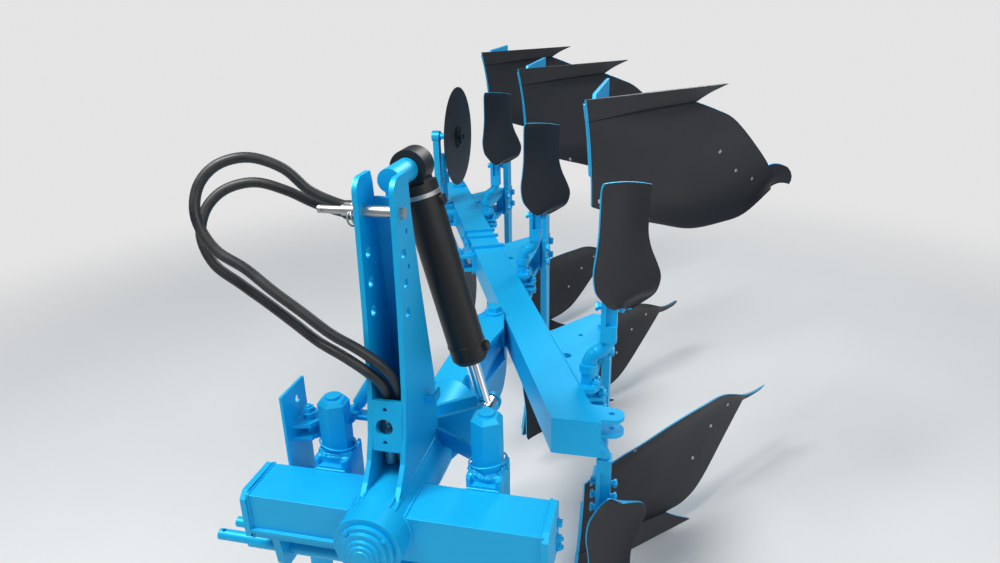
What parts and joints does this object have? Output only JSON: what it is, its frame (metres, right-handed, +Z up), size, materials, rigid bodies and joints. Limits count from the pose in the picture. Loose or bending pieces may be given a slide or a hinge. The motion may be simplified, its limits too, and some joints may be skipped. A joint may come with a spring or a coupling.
{
  "type": "moldboard plough",
  "caption": "Blue mounted reversible mouldboard plough with black bodies, skimmers and disc coulters, parked on its stand and lower bodies",
  "frame": {"origin": "The middle of the upper spare top link hole, on its axis halfway between the two mast plates", "axes": "+X to the right seen from behind the tractor, +Y to the rear along the plough, +Z up"},
  "size_m": [1.8271, 3.5687, 1.71],
  "materials": {
    "blue_paint": "semi-gloss",
    "black_paint": "semi-gloss",
    "bare_steel": "satin",
    "cylinder_black": "matt",
    "chrome_rod": "polished",
    "hose_rubber": "satin"
  },
  "bodies": {
    "headstock": {"headstock_beam": "blue_paint", "mast": "blue_paint", "hub_cap": "blue_paint", "top_link_pin": "bare_steel", "cross_shaft": "blue_paint", "tilt_screw_left": "blue_paint", "tilt_screw_right": "blue_paint", "stand_bracket": "blue_paint", "cylinder_bracket": "blue_paint", "hose_manifold": "bare_steel", "hose_front": "hose_rubber", "hose_rear": "hose_rubber", "hose_couplings": "bare_steel"},
    "stand": {"parking_stand": "blue_paint"},
    "cylinder": {"barrel": "cylinder_black"},
    "cylinder_rod": {"rod": "chrome_rod"},
    "plough_frame": {"turnover_arm": "blue_paint", "main_beam": "blue_paint", "pivot_bolt": "blue_paint", "beam_fittings": "blue_paint", "stay_rod": "blue_paint", "landsides": "blue_paint", "leg_consoles": "blue_paint", "leg_1": "blue_paint", "leg_2": "blue_paint", "leg_3": "blue_paint", "mouldboard_upper_1": "black_paint", "mouldboard_upper_2": "black_paint", "mouldboard_upper_3": "black_paint", "mouldboard_lower_1": "black_paint", "mouldboard_lower_2": "black_paint", "mouldboard_lower_3": "black_paint", "share_upper_1": "black_paint", "share_upper_2": "black_paint", "share_upper_3": "black_paint", "share_lower_1": "black_paint", "share_lower_2": "black_paint", "share_lower_3": "black_paint", "skimmer_blades_1": "black_paint", "skimmer_blades_2": "black_paint", "skimmer_blades_3": "black_paint", "skimmer_stalk_1": "blue_paint", "skimmer_stalk_2": "blue_paint", "skimmer_stalk_3": "blue_paint", "coulter_arm": "blue_paint"},
    "coulter_upper": {"disc_upper": "black_paint"},
    "coulter_lower": {"disc_lower": "black_paint"}
  },
  "joints": [
    {"name": "stand_fold", "type": "hinge", "parent": "headstock", "child": "stand", "pos_m": [-0.283, 0.04, -0.722], "axis": [0, 1, 0], "range_deg": [0, 100]},
    {"name": "turnover", "type": "hinge", "parent": "headstock", "child": "plough_frame", "pos_m": [0, 0.21, -0.614], "axis": [0, -1, 0], "range_deg": [0, 180]},
    {"name": "cylinder_swing", "type": "hinge", "parent": "headstock", "child": "cylinder", "pos_m": [0, 0.212, 0.146], "axis": [0, 1, 0], "range_deg": [0, 29.6]},
    {"name": "rod_slide", "type": "slide", "parent": "cylinder", "child": "cylinder_rod", "axis": [0.2468, 0, -0.9691], "range_m": [-0.107, 0.222]},
    {"name": "coulter_upper_spin", "type": "hinge", "parent": "plough_frame", "child": "coulter_upper", "pos_m": [-0.5, 2.26, -0.166], "axis": [1, 0, 0], "continuous": true},
    {"name": "coulter_lower_spin", "type": "hinge", "parent": "plough_frame", "child": "coulter_lower", "pos_m": [-0.5, 2.26, -1.062], "axis": [1, 0, 0], "continuous": true}
  ]
}
